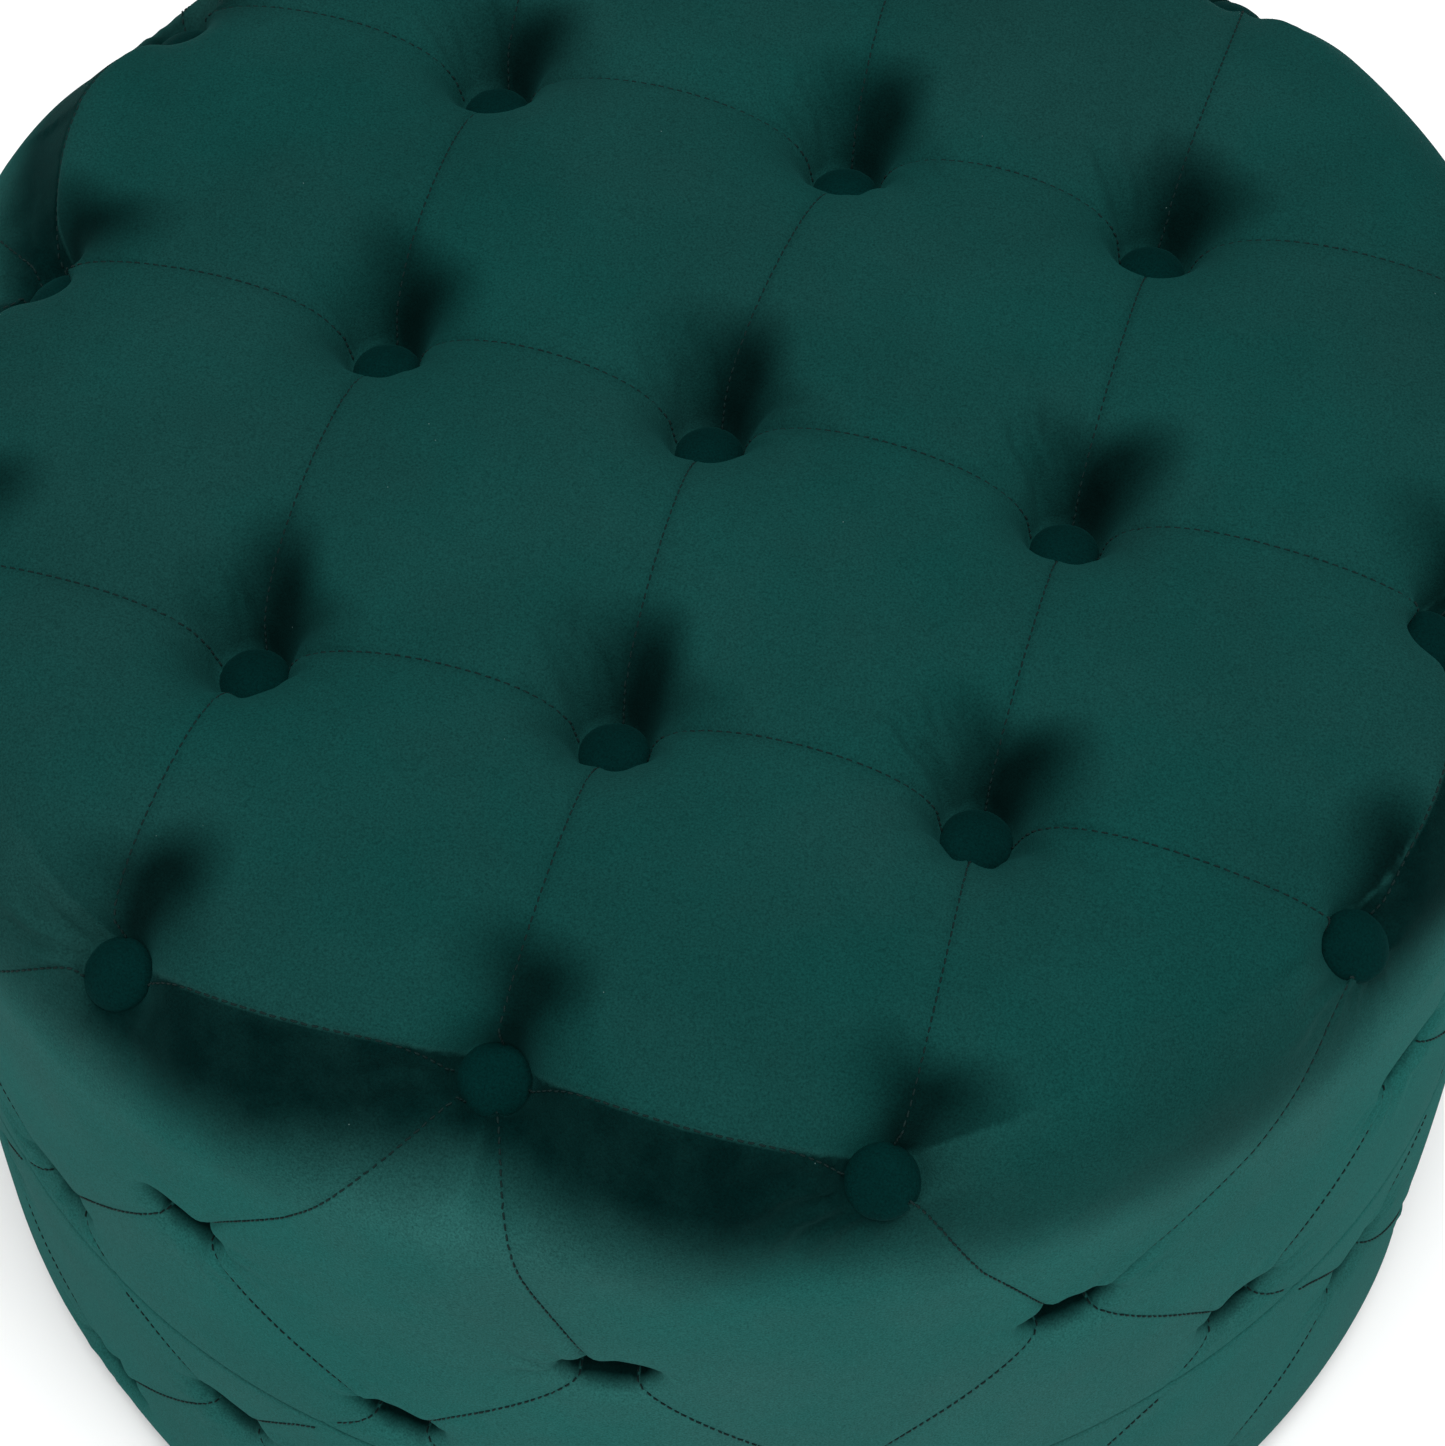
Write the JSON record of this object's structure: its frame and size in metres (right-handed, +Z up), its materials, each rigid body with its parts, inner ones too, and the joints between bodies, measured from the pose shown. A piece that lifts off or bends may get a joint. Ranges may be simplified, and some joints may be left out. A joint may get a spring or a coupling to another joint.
{
  "type": "storage ottoman",
  "caption": "Round button-tufted velvet storage ottoman: an upholstered tub closed by a deep lift-off seat lid, with a lined storage space inside.",
  "frame": {"origin": "on the floor, under the centre of the round tub", "axes": "+Z up; +X and +Y run along the square grid of seat buttons; the side that faces the viewer is -Y"},
  "size_m": [0.635, 0.635, 0.46],
  "materials": {
    "velvet": "matte",
    "button_velvet": "matte",
    "foam": "matte",
    "plywood": "matte",
    "lining_cloth": "matte",
    "dust_cloth": "matte",
    "twine": "matte",
    "washer_plastic": "satin",
    "zinc_steel": "satin",
    "staple_wire": "satin",
    "glide_plastic": "satin"
  },
  "bodies": {
    "tub": {"base_cover": "velvet", "base_buttons_row_3": "button_velvet", "base_buttons_row_4": "button_velvet", "base_side_foam": "foam", "floor_board": "plywood", "base_wall": "plywood", "inner_sleeve": "plywood", "base_lining": "lining_cloth", "floor_pad": "lining_cloth", "dust_cover": "dust_cloth", "base_twine": "twine", "base_washers": "washer_plastic", "floor_screws": "zinc_steel", "sleeve_screws": "zinc_steel", "glide_screws": "zinc_steel", "dust_cover_staples": "staple_wire", "glides": "glide_plastic"},
    "lid": {"lid_cover": "velvet", "lid_top_buttons": "button_velvet", "lid_buttons_row_1": "button_velvet", "lid_buttons_row_2": "button_velvet", "lid_top_foam": "foam", "lid_side_foam": "foam", "lid_board": "plywood", "lid_wall": "plywood", "lid_lining": "lining_cloth", "lid_ceiling_lining": "lining_cloth", "lid_top_twine": "twine", "lid_side_twine": "twine", "lid_top_washers": "washer_plastic", "lid_side_washers": "washer_plastic", "lid_board_screws": "zinc_steel"}
  },
  "joints": [
    {"name": "lid_lift", "type": "slide", "parent": "tub", "child": "lid", "axis": [0, 0, 1], "range_m": [0, 0.35]}
  ]
}
